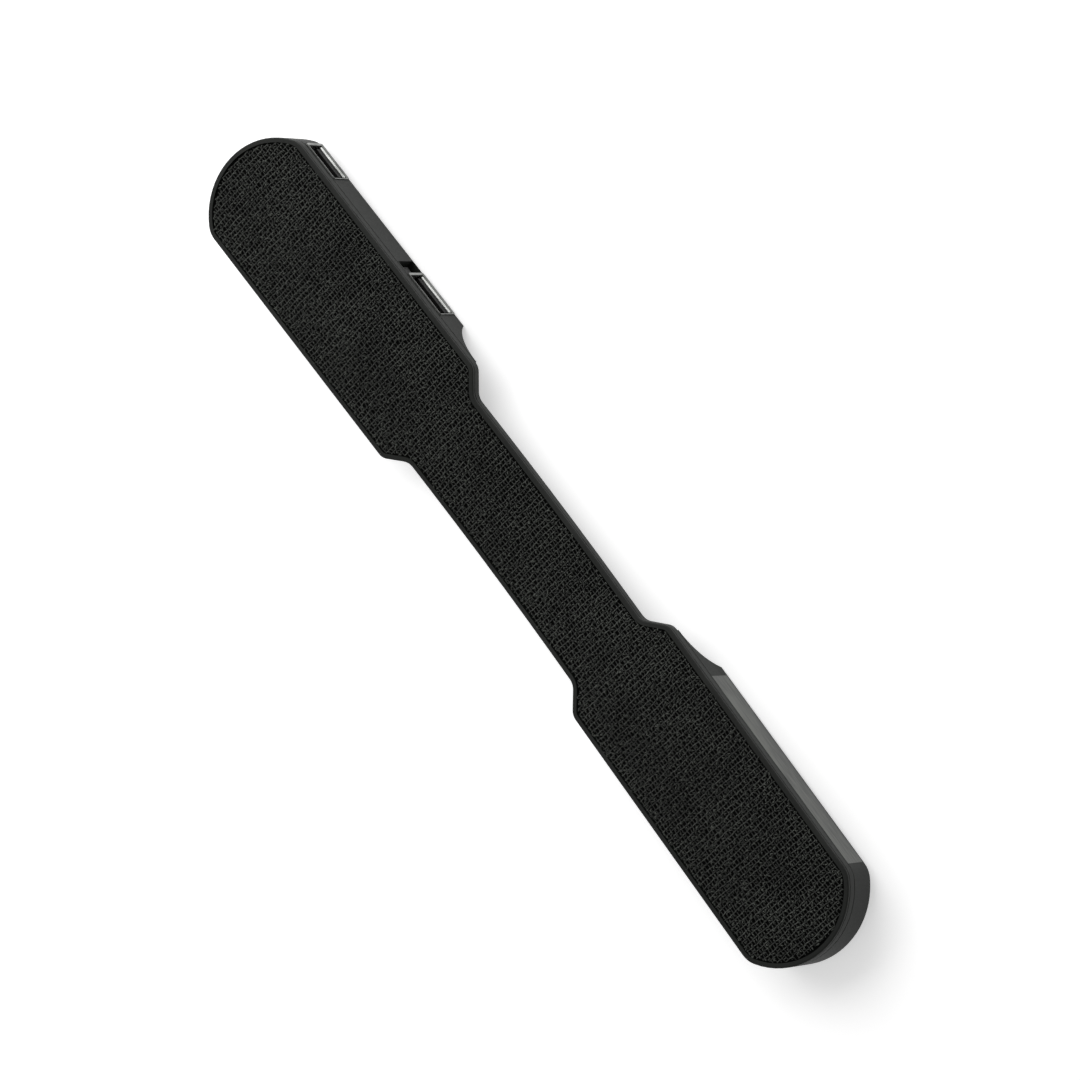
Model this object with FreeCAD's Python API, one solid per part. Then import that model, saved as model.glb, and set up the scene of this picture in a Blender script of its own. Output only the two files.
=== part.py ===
# Slim dog-bone unit: a hook-faced front plate joins two thin electronics pods
# through a narrow neck. The port pod carries two shielded sockets and a
# recessed power button; the lamp pod carries a long diffuser window.
# Millimetres. +X runs from the port pod to the lamp pod, +Y is the side with
# the sockets and the window, +Z points out of the hook face.
import FreeCAD, Part
import os
from math import sin, cos, tan, atan2, radians, sqrt

V = FreeCAD.Vector

# ---- overall outline (flat, before the neck is bent) ----
LOBE_WIDTH = 33.7          # across each lobe
NECK_WIDTH = 23.8          # across the neck
TIP_X = 123.3              # centre to the rounded tip
END_BULGE = 2.2            # end arc's radius beyond half the lobe
END_CORNER_RADIUS = 6.0    # blends the arc into the straight side
NECK_CORNER_X = 34.6       # where the neck meets the shoulder
LOBE_CORNER_X = 40.25      # where the shoulder meets the lobe side
NECK_CORNER_RADIUS = 4.0
LOBE_CORNER_RADIUS = 3.5

# ---- bend of the neck ----
LOBE_TILT = 2.4            # degrees, each lobe rises towards its tip
BEND_HALF_LENGTH = 25.0    # half the length of neck that takes the bend

# ---- front plate ----
PLATE_THICKNESS = 3.0
RIM_WIDTH = 1.15           # land round the hook field
RECESS_DEPTH = 0.8
RIM_ROUND = 0.35           # outer top edge of the rim
GROOVE_TOP = 0.75          # top of the plate to the shadow groove round its side
GROOVE_WIDTH = 0.3
GROOVE_DEPTH = 0.25
LIP_THICKNESS = 0.9        # locating lip that drops into each pod
LIP_DEPTH = 1.3
LIP_CLEARANCE = 0.1
STANDOFF_RADIUS = 2.2      # threaded posts pressed into the plate
SPIGOT_RADIUS = 1.3
SPIGOT_HEIGHT = 0.9
PILOT_RADIUS = 0.8

# ---- hook tape ----
TAPE_CLEARANCE = 0.1
BACKING_THICKNESS = 0.3
HOOK_HEIGHT = 0.75

# ---- pods ----
WALL = 1.6
FLOOR = 1.2
GASKET_THICKNESS = 0.3
GASKET_INSET = 0.1
BACK_EDGE_ROUND = 0.6
RAMP_SETBACK = 0.1         # shoulder's end to the foot of the sloped end
RAMP_FOOT = 0.3            # height of the step at the foot
RAMP_RADIUS = 12.3
SCREW_PAD_RADIUS = 3.0
SCREW_PAD_HEIGHT = 1.2

# ---- screws ----
SCREW_HEAD_RADIUS = 1.9
SCREW_HEAD_HEIGHT = 1.2
SCREW_SINK = 0.15          # head sits this far below the back
SCREW_BORE_CLEARANCE = 0.2
SCREW_SHANK_CLEARANCE = 0.3
SCREW_GRIP = 4.0           # length of shank inside the boss
DRIVE_RADIUS = 0.85
DRIVE_DEPTH = 0.7
SCREW_FROM_SIDE = 4.65     # screw centre to the pod's side
SCREW_FROM_RAMP = 4.4      # screw centre to where the back turns flat
SCREW_FROM_BUTTON = 7.5    # screw centre to the button's centre
END_SCREW_MARGIN = 0.35    # screw pad to the inside of the end wall
PORT_END_ANGLES = (29.0, -45.0)  # degrees round the end arc, 0 at the tip
LAMP_END_ANGLES = (-36.0, 36.0)

# ---- neck cover and ribbon cable ----
COVER_WIDTH = 13.0
COVER_THICKNESS = 0.6
COVER_TUCK = 2.3           # length held under each pod
COVER_CLEARANCE = 0.1
RIBBON_WIDTH = 7.0
RIBBON_THICKNESS = 0.2
RIBBON_CHANNEL_DEPTH = 0.4
RIBBON_SIDE_CLEARANCE = 0.6
CHANNEL_REACH = 3.3        # how far the channel opens into each pod

# ---- sockets ----
OUTER_SOCKET = (16.4, 11.8, 5)    # tip to centre, width, number of contacts
INNER_SOCKET = (10.2, 13.4, 4)    # flat of the back to centre, width, contacts
SOCKET_HEIGHT = 7.4
SOCKET_TOP = 0.8           # gap from the plate's underside to the shell
SOCKET_FLOOR = 0.6         # pod wall left behind the shell
SOCKET_DEPTH = 13.6
SOCKET_PROUD = 0.25
SOCKET_SHELL = 0.45
SOCKET_FLARE = 0.3         # bevel inside the mouth
SOCKET_CLEARANCE = 0.1
TONGUE_THICKNESS = 2.2
TONGUE_SIDE_GAP = 0.75
TONGUE_BACK_GAP = 0.35
TONGUE_SETBACK = 0.8
CONTACT_WIDTH = 0.9
CONTACT_THICKNESS = 0.15
CONTACT_SETBACK = 1.0
CONTACT_LENGTH = 7.0
CARRIER_DEPTH = 2.6        # insulator that closes the rear of a shell

# ---- power button ----
BUTTON_WIDTH = 2.9
NOTCH_SIDE_GAP = 0.5       # cap to the notch's side walls
NOTCH_OFFSET = 0.1         # notch to the inner socket's shell
NOTCH_DEPTH = 2.3
BUTTON_END_GAP = 1.5       # cap to the notch's top and bottom
BUTTON_STANDOUT = 0.9      # cap front above the notch floor
BUTTON_GUIDE = 1.5         # thickness of the wall that guides the cap
BUTTON_CLEARANCE = 0.15
BUTTON_TRAVEL = 0.5
FLANGE_MARGIN = 0.3
FLANGE_THICKNESS = 0.6
FLANGE_GAP = 0.15
SWITCH_GAP = 0.2           # left between flange and switch when pressed
SWITCH_DEPTH = 2.6

# ---- control board ----
BOARD_THICKNESS = 0.8
BOARD_DROP = 3.6           # plate underside to board top
BOARD_CLEARANCE = 0.35

# ---- cells ----
CELL_GAP = 0.5
CELL_HEADROOM = 0.2        # under the plate's lip
PAD_THICKNESS = 0.5
CELL_SIDE_GAP = 0.6        # cell to the pod's inner side wall
PORT_CELL_START = 9.3      # flat of the back to the cell
LAMP_CELL_START = 8.3
PORT_CELL_EDGE = -2.2      # the cell's inner long edge
LAMP_CELL_TO_BOARD = 3.05
CELL_CORNER = 1.2

# ---- lamp window ----
WINDOW_FROM_RAMP = 2.3     # flat of the back to the window's near end
WINDOW_FROM_TIP = 12.2     # window's far end to the tip
WINDOW_TOP = 0.35          # gap from the plate's underside
WINDOW_BOTTOM = 0.9        # pod edge left behind the window
LENS_THICKNESS = 1.3
LENS_FLANGE = 0.8
LENS_FLANGE_THICKNESS = 0.6
LENS_CLEARANCE = 0.1
LAMP_BOARD_THICKNESS = 0.8
LAMP_BOARD_GAP = 0.9
LAMP_BOARD_HEIGHT = 4.6
LED_COUNT = 12
LED_SIZE = (1.6, 0.6, 1.6)  # along X, out of the board, along Z

# ---- derived levels (plate top is z = 0) ----
half_lobe = LOBE_WIDTH / 2
half_neck = NECK_WIDTH / 2
end_radius = half_lobe + END_BULGE
end_x = TIP_X - end_radius
plate_z = -PLATE_THICKNESS
shell_top = plate_z - GASKET_THICKNESS
socket_z1 = plate_z - SOCKET_TOP
socket_z0 = socket_z1 - SOCKET_HEIGHT
socket_mid = (socket_z0 + socket_z1) / 2
back_z = socket_z0 - SOCKET_FLOOR        # the tallest socket sets the pod
floor_z = back_z + FLOOR
shoulder = atan2(half_lobe - half_neck, LOBE_CORNER_X - NECK_CORNER_X)
neck_tangent = NECK_CORNER_RADIUS * tan(shoulder / 2)
lobe_tangent = LOBE_CORNER_RADIUS * tan(shoulder / 2)
ramp_x = LOBE_CORNER_X + lobe_tangent + RAMP_SETBACK
bend_radius = BEND_HALF_LENGTH / radians(LOBE_TILT)
bend_centre = V(0, 0, bend_radius)


def box(x0, x1, y0, y1, z0, z1):
    return Part.makeBox(x1 - x0, y1 - y0, z1 - z0, V(x0, y0, z0))


def cylinder(x, y, z0, z1, radius):
    return Part.makeCylinder(radius, z1 - z0, V(x, y, z0))


def fuse(shapes):
    shapes = list(shapes)
    if len(shapes) == 1:
        return shapes[0]
    return shapes[0].multiFuse(shapes[1:]).removeSplitter()


def line(a, b):
    return Part.LineSegment(V(*a), V(*b)).toShape()


def arc(centre, radius, start, end):
    """Arc in the XY plane, angles in radians."""
    points = [V(centre[0] + radius * cos(t), centre[1] + radius * sin(t), 0)
              for t in (start, (start + end) / 2, end)]
    return Part.Arc(*points).toShape()


# ---- plan outlines, offset inwards by an inset ----
def end_edges(inset):
    """Upper half of a lobe's far end, from the straight side to the tip."""
    reach = end_radius - END_CORNER_RADIUS
    rise = half_lobe - END_CORNER_RADIUS
    centre = (end_x + sqrt(reach ** 2 - rise ** 2), rise)
    turn = atan2(rise, centre[0] - end_x)
    corner = arc(centre, END_CORNER_RADIUS - inset, radians(90), turn)
    tip = arc((end_x, 0), end_radius - inset, turn, 0)
    return centre[0], [corner, tip]


def quadrant(inset):
    """Edges from the middle of the neck to the tip, +X +Y quadrant."""
    neck_centre = (NECK_CORNER_X - neck_tangent, half_neck + NECK_CORNER_RADIUS)
    lobe_centre = (LOBE_CORNER_X + lobe_tangent, half_lobe - LOBE_CORNER_RADIUS)
    neck_arc = arc(neck_centre, NECK_CORNER_RADIUS + inset,
                   radians(-90), radians(-90) + shoulder)
    lobe_arc = arc(lobe_centre, LOBE_CORNER_RADIUS - inset,
                   radians(90) + shoulder, radians(90))
    side_end, far = end_edges(inset)
    last = neck_arc.Vertexes[-1].Point
    first = lobe_arc.Vertexes[0].Point
    return [line((0, half_neck - inset, 0), (neck_centre[0], half_neck - inset, 0)),
            neck_arc, line(tuple(last), tuple(first)), lobe_arc,
            line((lobe_centre[0], half_lobe - inset, 0), (side_end, half_lobe - inset, 0))] + far


def mirrored(edges, normal):
    return [e.mirror(V(0, 0, 0), normal) for e in edges]


def prism(edges, z0, z1):
    wire = Part.Wire(Part.__sortEdges__(edges))
    face = Part.Face(wire)
    face.translate(V(0, 0, z0))
    return face.extrude(V(0, 0, z1 - z0))


def dogbone(inset, z0, z1):
    upper = quadrant(inset)
    right = upper + mirrored(upper, V(0, 1, 0))
    return prism(right + mirrored(right, V(1, 0, 0)), z0, z1)


def lobe(side, inset, inner_x, z0, z1):
    """Prism over one lobe from inner_x to its tip."""
    side_end, far = end_edges(inset)
    y = half_lobe - inset
    upper = [line((inner_x, y, 0), (side_end, y, 0))] + far
    edges = upper + mirrored(upper, V(0, 1, 0)) + [line((inner_x, -y, 0), (inner_x, y, 0))]
    if side < 0:
        edges = mirrored(edges, V(1, 0, 0))
    return prism(edges, z0, z1)


def side_profile(points_and_arcs, side):
    """Extrude a closed XZ profile right across Y. Items are point tuples
    (x, z), or a pair (middle, end) that makes an arc from the last point."""
    edges = []
    here = points_and_arcs[0]
    for item in points_and_arcs[1:]:
        if isinstance(item[0], tuple):
            mid, end = item
            edges.append(Part.Arc(V(here[0], 0, here[1]), V(mid[0], 0, mid[1]),
                                  V(end[0], 0, end[1])).toShape())
            here = end
        else:
            edges.append(line((here[0], 0, here[1]), (item[0], 0, item[1])))
            here = item
    start = points_and_arcs[0]
    edges.append(line((here[0], 0, here[1]), (start[0], 0, start[1])))
    face = Part.Face(Part.Wire(edges))
    face.translate(V(0, -LOBE_WIDTH, 0))
    solid = face.extrude(V(0, 2 * LOBE_WIDTH, 0))
    return solid if side > 0 else solid.mirror(V(0, 0, 0), V(1, 0, 0))


# ---- bending ----
def place(shape, side):
    """Move a flat lobe piece to its tilted place."""
    moved = shape.copy()
    moved.translate(V(-side * BEND_HALF_LENGTH, 0, 0))
    moved.rotate(bend_centre, V(0, 1, 0), -side * LOBE_TILT)
    return moved


def bend(flat):
    """Bend a piece that spans the neck: two straight ends and a true arc."""
    far = TIP_X + 10
    pieces = []
    for side in (-1, 1):
        x0, x1 = sorted((side * BEND_HALF_LENGTH, side * far))
        pieces.append(place(flat.common(box(x0, x1, -60, 60, -60, 60)), side))
    square = Part.makePolygon([V(0, -60, -60), V(0, 60, -60), V(0, 60, 60),
                               V(0, -60, 60), V(0, -60, -60)])
    for face in flat.common(Part.Face(square)).Faces:
        turned = face.copy()
        turned.rotate(bend_centre, V(0, 1, 0), LOBE_TILT)
        pieces.append(turned.revolve(bend_centre, V(0, -1, 0), 2 * LOBE_TILT))
    return fuse(pieces)


nodes = {}
pod_names = {-1: "port_pod", 1: "lamp_pod"}

# ---- layout shared by several pieces ----
ramp_centre_z = shell_top - RAMP_FOOT - RAMP_RADIUS


def ramp_at(z, offset=0):
    """Where the hollow-curved inner end of a pod is at height z."""
    return ramp_x + sqrt((RAMP_RADIUS + offset) ** 2 - (z - ramp_centre_z) ** 2)


def cavity_x(z):
    """Where the inner end of a pod's cavity is at height z."""
    return ramp_at(min(z, shell_top), WALL)


flat_x = ramp_at(back_z)
pad_top = floor_z + SCREW_PAD_HEIGHT
head_floor = back_z + SCREW_SINK + SCREW_HEAD_HEIGHT
shank_radius = PILOT_RADIUS

socket_face = half_lobe + SOCKET_PROUD
socket_rear = socket_face - SOCKET_DEPTH
inner_centre = -(flat_x + INNER_SOCKET[0])
sockets = {"outer": (OUTER_SOCKET[0] - TIP_X,) + OUTER_SOCKET[1:],
           "inner": (inner_centre,) + INNER_SOCKET[1:]}

notch_width = BUTTON_WIDTH + 2 * NOTCH_SIDE_GAP
button_x = inner_centre - INNER_SOCKET[1] / 2 - NOTCH_OFFSET - notch_width / 2
button_height = SOCKET_HEIGHT - 2 * BUTTON_END_GAP
notch_floor = half_lobe - NOTCH_DEPTH
guide_back = notch_floor - BUTTON_GUIDE
flange_front = guide_back - FLANGE_GAP
flange_back = flange_front - FLANGE_THICKNESS
switch_front = flange_back - BUTTON_TRAVEL - SWITCH_GAP

window_z1 = plate_z - WINDOW_TOP
window_z0 = back_z + WINDOW_BOTTOM
window_x0 = flat_x + WINDOW_FROM_RAMP
window_x1 = TIP_X - WINDOW_FROM_TIP
lens_back = half_lobe - LENS_THICKNESS
flange_y0 = lens_back - LENS_FLANGE_THICKNESS
led_front = flange_y0 - LAMP_BOARD_GAP
board_front = led_front - LED_SIZE[1]
board_back = board_front - LAMP_BOARD_THICKNESS

screw_x = flat_x + SCREW_FROM_RAMP
screw_y = half_lobe - SCREW_FROM_SIDE
port_screws = [(-screw_x, -screw_y), (button_x - SCREW_FROM_BUTTON, screw_y)]
end_ring = end_radius - WALL - SCREW_PAD_RADIUS - END_SCREW_MARGIN
port_screws += [(-end_x - end_ring * cos(radians(a)), end_ring * sin(radians(a)))
                for a in PORT_END_ANGLES]
lamp_screws = [(screw_x, -screw_y), (screw_x, board_back - 0.45 - SCREW_PAD_RADIUS)]
lamp_screws += [(end_x + end_ring * cos(radians(a)), end_ring * sin(radians(a)))
                for a in LAMP_END_ANGLES]
screw_sets = {-1: port_screws, 1: lamp_screws}

cell_z0 = floor_z + PAD_THICKNESS
cell_z1 = plate_z - LIP_DEPTH - CELL_HEADROOM
cell_edge = half_lobe - WALL - CELL_SIDE_GAP


def cell_end(side):
    """Far end of a cell: inside the end arc and clear of the end screws."""
    in_arc = end_x + sqrt((end_radius - WALL - CELL_SIDE_GAP) ** 2 - cell_edge ** 2)
    nearest = min(abs(x) for x, y in screw_sets[side][2:])
    return min(in_arc, nearest - SCREW_PAD_RADIUS - CELL_GAP)


cells = {-1: (-cell_end(-1), -flat_x - PORT_CELL_START, -cell_edge, PORT_CELL_EDGE),
         1: (flat_x + LAMP_CELL_START, cell_end(1), -cell_edge, board_back - LAMP_CELL_TO_BOARD)}


def wall_openings(side):
    """Cuts through the +Y wall of a pod: sockets under a bridge, window open at the top."""
    cuts = []
    if side < 0:
        for centre, width, count in sockets.values():
            half = width / 2 + SOCKET_CLEARANCE
            cuts.append(box(centre - half, centre + half, socket_rear - SOCKET_CLEARANCE,
                            half_lobe + 2, socket_z0 - SOCKET_CLEARANCE,
                            socket_z1 + SOCKET_CLEARANCE))
    else:
        gap = LENS_CLEARANCE
        cuts.append(box(window_x0 - gap, window_x1 + gap, half_lobe - WALL - 1,
                        half_lobe + 2, window_z0 - gap, 0))
        cuts.append(box(window_x0 - LENS_FLANGE - gap, window_x1 + LENS_FLANGE + gap,
                        flange_y0 - gap, lens_back + gap, window_z0 - gap, 0))
    return cuts


# ---- front plate ----
plate = dogbone(0, plate_z, 0)
rim_edges = [e for e in plate.Edges
             if all(abs(v.Point.z) < 1e-6 for v in e.Vertexes)]
plate = plate.makeFillet(RIM_ROUND, rim_edges)
plate = plate.cut(dogbone(RIM_WIDTH, -RECESS_DEPTH, 1))
groove_z = -GROOVE_TOP - GROOVE_WIDTH
groove = dogbone(-1, groove_z, -GROOVE_TOP).cut(dogbone(GROOVE_DEPTH, groove_z, -GROOVE_TOP))
plate = plate.cut(groove)
cover_z = plate_z + COVER_THICKNESS
cover_half_length = ramp_x + COVER_TUCK
channel_half_length = cavity_x(plate_z) + CHANNEL_REACH
reach = cover_half_length + COVER_CLEARANCE
half_cover = COVER_WIDTH / 2 + COVER_CLEARANCE
plate = plate.cut(box(-reach, reach, -half_cover, half_cover, plate_z - 1, cover_z))
half_channel = RIBBON_WIDTH / 2 + RIBBON_SIDE_CLEARANCE
plate = plate.cut(box(-channel_half_length, channel_half_length, -half_channel, half_channel,
                      plate_z - 1, cover_z + RIBBON_CHANNEL_DEPTH))
for side in (-1, 1):
    lip_out = WALL + LIP_CLEARANCE
    lip_in = lip_out + LIP_THICKNESS
    lip_x = cavity_x(plate_z - LIP_DEPTH) + LIP_CLEARANCE
    ring = lobe(side, lip_out, lip_x, plate_z - LIP_DEPTH, plate_z)
    ring = ring.cut(lobe(side, lip_in, lip_x - 5, plate_z - LIP_DEPTH - 1, plate_z))
    gap = 0.3
    if side < 0:
        for centre, width, count in sockets.values():
            half = width / 2 + SOCKET_CLEARANCE + gap
            ring = ring.cut(box(centre - half, centre + half, 0, half_lobe, -20, plate_z))
        ring = ring.cut(box(button_x - notch_width / 2 - WALL - gap,
                            button_x + notch_width / 2 + WALL + gap,
                            0, half_lobe, -20, plate_z))
    else:
        ring = ring.cut(box(window_x0 - LENS_FLANGE - 2 * gap, window_x1 + LENS_FLANGE + 2 * gap,
                            0, half_lobe, -20, plate_z))
    for x, y in screw_sets[side]:
        ring = ring.cut(cylinder(x, y, plate_z - LIP_DEPTH - 1, plate_z,
                                 STANDOFF_RADIUS + LIP_CLEARANCE))
    plate = fuse([plate, ring])
    posts = []
    for x, y in screw_sets[side]:
        plate = plate.cut(cylinder(x, y, plate_z - 1, plate_z + SPIGOT_HEIGHT, SPIGOT_RADIUS))
        post = fuse([cylinder(x, y, pad_top, plate_z, STANDOFF_RADIUS),
                     cylinder(x, y, plate_z, plate_z + SPIGOT_HEIGHT, SPIGOT_RADIUS)])
        posts.append(post.cut(cylinder(x, y, pad_top - 1, pad_top + SCREW_GRIP + 0.3,
                                       PILOT_RADIUS)))
    nodes[pod_names[side] + "_standoffs"] = place(Part.makeCompound(posts), side)
nodes["front_plate"] = bend(plate)

# ---- hook tape ----
tape_inset = RIM_WIDTH + TAPE_CLEARANCE
backing_top = -RECESS_DEPTH + BACKING_THICKNESS
nodes["hook_backing"] = bend(dogbone(tape_inset, -RECESS_DEPTH, backing_top))
nodes["hook_field"] = bend(dogbone(tape_inset, backing_top, backing_top + HOOK_HEIGHT))

# ---- neck cover and ribbon ----
half_cover = COVER_WIDTH / 2
nodes["neck_cover"] = bend(box(-cover_half_length, cover_half_length, -half_cover, half_cover,
                               plate_z, cover_z))
ribbon_z0 = cover_z + (RIBBON_CHANNEL_DEPTH - RIBBON_THICKNESS) / 2
ribbon_z1 = ribbon_z0 + RIBBON_THICKNESS
board_top = plate_z - BOARD_DROP
drop_x = channel_half_length - 1.5
plug_x = cavity_x(board_top) + 1.2
land_z = board_top + 0.6
upper = [(-plug_x - 2, land_z), (-plug_x, land_z), (-drop_x, ribbon_z0), (drop_x, ribbon_z0),
         (plug_x, land_z), (plug_x + 2, land_z)]
lower = [(x, z + RIBBON_THICKNESS) for x, z in reversed(upper)]
ribbon = side_profile(upper + lower, 1)
ribbon = ribbon.common(box(-60, 60, -RIBBON_WIDTH / 2, RIBBON_WIDTH / 2, -20, 0))
nodes["neck_ribbon"] = bend(ribbon)

# ---- pod shells and gaskets ----
for side in (-1, 1):
    foot_z = shell_top - RAMP_FOOT
    mid_z = (foot_z + back_z) / 2
    profile = side_profile([(ramp_x, shell_top), (ramp_x, foot_z),
                            ((ramp_at(mid_z), mid_z), (flat_x, back_z)),
                            (TIP_X + 5, back_z), (TIP_X + 5, shell_top)], side)
    shell = lobe(side, 0, ramp_x, back_z, shell_top).common(profile)
    back_edges = []
    for e in shell.Edges:
        points = [v.Point for v in e.Vertexes]
        if all(abs(p.z - back_z) < 1e-5 for p in points):
            back_edges.append(e)
    shell = shell.makeFillet(BACK_EDGE_ROUND, back_edges)
    mid_z = (shell_top + floor_z) / 2
    cavity = side_profile([(cavity_x(0), 0), (cavity_x(0), shell_top),
                           ((cavity_x(mid_z), mid_z), (cavity_x(floor_z), floor_z)),
                           (TIP_X + 5, floor_z), (TIP_X + 5, 0)], side)
    hollow = lobe(side, WALL, ramp_x, floor_z, 0).common(cavity)
    solids = [cylinder(x, y, floor_z - 0.2, pad_top, SCREW_PAD_RADIUS)
              for x, y in screw_sets[side]]
    if side < 0:
        block_x0 = button_x - notch_width / 2 - WALL
        block_x1 = button_x + notch_width / 2
        solids.append(box(block_x0, block_x1, guide_back, half_lobe - WALL / 2,
                          floor_z - 0.2, shell_top))
    inside = fuse(solids).common(lobe(side, WALL / 2, ramp_x, back_z + FLOOR / 2, shell_top))
    shell = fuse([shell.cut(hollow), inside])
    for cut in wall_openings(side):
        shell = shell.cut(cut)
    if side < 0:
        shell = shell.cut(box(button_x - notch_width / 2, button_x + notch_width / 2,
                              notch_floor, half_lobe + 2, socket_z0 - SOCKET_CLEARANCE, socket_z1))
        hole_x = BUTTON_WIDTH / 2 + BUTTON_CLEARANCE
        hole_z = button_height / 2 + BUTTON_CLEARANCE
        shell = shell.cut(box(button_x - hole_x, button_x + hole_x, guide_back - 1,
                              notch_floor + 1, socket_mid - hole_z, socket_mid + hole_z))
        hole_x += FLANGE_MARGIN
        hole_z += FLANGE_MARGIN
        shell = shell.cut(box(button_x - hole_x, button_x + hole_x,
                              flange_back - BUTTON_TRAVEL - FLANGE_GAP, guide_back,
                              socket_mid - hole_z, socket_mid + hole_z))
    for x, y in screw_sets[side]:
        shell = shell.cut(cylinder(x, y, back_z - 1, head_floor,
                                   SCREW_HEAD_RADIUS + SCREW_BORE_CLEARANCE))
        shell = shell.cut(cylinder(x, y, head_floor - 1, pad_top + 1,
                                   shank_radius + SCREW_SHANK_CLEARANCE))
    nodes[pod_names[side] + "_shell"] = place(shell, side)

    ring = lobe(side, GASKET_INSET, ramp_x + GASKET_INSET, shell_top, plate_z)
    ring = ring.cut(lobe(side, WALL, cavity_x(shell_top), shell_top - 1, plate_z + 1))
    nodes[pod_names[side] + "_gasket"] = place(ring, side)

    screws = []
    for x, y in screw_sets[side]:
        head = cylinder(x, y, head_floor - SCREW_HEAD_HEIGHT, head_floor, SCREW_HEAD_RADIUS)
        shank = cylinder(x, y, head_floor, pad_top + SCREW_GRIP, shank_radius)
        hexagon = Part.makePolygon([V(x + DRIVE_RADIUS * cos(radians(60 * k)),
                                      y + DRIVE_RADIUS * sin(radians(60 * k)),
                                      head_floor - SCREW_HEAD_HEIGHT) for k in range(7)])
        recess = Part.Face(hexagon).extrude(V(0, 0, DRIVE_DEPTH))
        screws.append(fuse([head, shank]).cut(recess))
    nodes[pod_names[side] + "_screws"] = place(Part.makeCompound(screws), side)

# ---- sockets ----
for label, (centre, width, count) in sockets.items():
    half = width / 2
    outer = box(centre - half, centre + half, socket_rear, socket_face, socket_z0, socket_z1)
    long_edges = [e for e in outer.Edges
                  if abs(e.Vertexes[0].Point.y - e.Vertexes[-1].Point.y) > SOCKET_DEPTH / 2]
    outer = outer.makeFillet(SOCKET_SHELL, long_edges)
    inner = box(centre - half + SOCKET_SHELL, centre + half - SOCKET_SHELL, socket_rear - 1,
                socket_face + 1, socket_z0 + SOCKET_SHELL, socket_z1 - SOCKET_SHELL)
    shell = outer.cut(inner)
    mouth_edges = [e for e in shell.Edges
                   if all(abs(v.Point.y - socket_face) < 1e-6 for v in e.Vertexes)
                   and all(abs(v.Point.x - centre) < half - SOCKET_SHELL / 2
                           and abs(v.Point.z - socket_mid) < SOCKET_HEIGHT / 2 - SOCKET_SHELL / 2
                           for v in e.Vertexes)]
    shell = shell.makeChamfer(SOCKET_FLARE, mouth_edges)
    nodes["socket_" + label + "_shell"] = place(shell, -1)

    carrier = box(centre - half + SOCKET_SHELL, centre + half - SOCKET_SHELL, socket_rear,
                  socket_rear + CARRIER_DEPTH, socket_z0 + SOCKET_SHELL,
                  socket_z1 - SOCKET_SHELL)
    tongue_z0 = socket_z0 + SOCKET_SHELL + TONGUE_BACK_GAP
    tongue_z1 = tongue_z0 + TONGUE_THICKNESS
    tongue_half = half - SOCKET_SHELL - TONGUE_SIDE_GAP
    tongue_front = socket_face - TONGUE_SETBACK
    tongue = box(centre - tongue_half, centre + tongue_half, socket_rear + CARRIER_DEPTH,
                 tongue_front, tongue_z0, tongue_z1)
    nodes["socket_" + label + "_insert"] = place(fuse([carrier, tongue]), -1)

    pitch = 2 * tongue_half / count
    contacts = []
    for k in range(count):
        x = centre - tongue_half + pitch * (k + 0.5)
        contacts.append(box(x - CONTACT_WIDTH / 2, x + CONTACT_WIDTH / 2,
                            tongue_front - CONTACT_SETBACK - CONTACT_LENGTH,
                            tongue_front - CONTACT_SETBACK,
                            tongue_z1, tongue_z1 + CONTACT_THICKNESS))
    nodes["socket_" + label + "_contacts"] = place(Part.makeCompound(contacts), -1)

# ---- power button and its switch ----
cap_front = notch_floor + BUTTON_STANDOUT
cap = box(button_x - BUTTON_WIDTH / 2, button_x + BUTTON_WIDTH / 2, flange_front, cap_front,
          socket_mid - button_height / 2, socket_mid + button_height / 2)
front_edges = [e for e in cap.Edges
               if all(abs(v.Point.y - cap_front) < 1e-6 for v in e.Vertexes)]
cap = cap.makeFillet(0.3, front_edges)
flange_x = BUTTON_WIDTH / 2 + FLANGE_MARGIN
flange_z = button_height / 2 + FLANGE_MARGIN
flange = box(button_x - flange_x, button_x + flange_x, flange_back, flange_front,
             socket_mid - flange_z, socket_mid + flange_z)
nodes["power_button"] = place(fuse([cap, flange]), -1)
board_bottom = board_top - BOARD_THICKNESS
switch_width = 3.0
switch = box(button_x - switch_width / 2, button_x + switch_width / 2,
             switch_front - SWITCH_DEPTH, switch_front - 0.5, board_top, board_top + 1.6)
plunger = box(button_x - 0.6, button_x + 0.6, switch_front - 0.5, switch_front,
              board_top + 0.3, board_top + 1.3)
nodes["button_switch"] = place(fuse([switch, plunger]), -1)

# ---- control board and what stands on it ----
gap = BOARD_CLEARANCE
slab = lobe(-1, WALL + gap, cavity_x(board_bottom) + gap + 0.2, board_bottom, board_top)
slab = slab.common(box(-TIP_X, 0, cells[-1][3] + CELL_GAP, half_lobe, -20, 0))
for centre, width, count in sockets.values():
    half = width / 2 + gap
    slab = slab.cut(box(centre - half, centre + half, socket_rear - gap, half_lobe, -20, 0))
slab = slab.cut(box(port_screws[1][0], button_x + notch_width / 2 + 2,
                    switch_front - 0.5, half_lobe, -20, 0))
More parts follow.
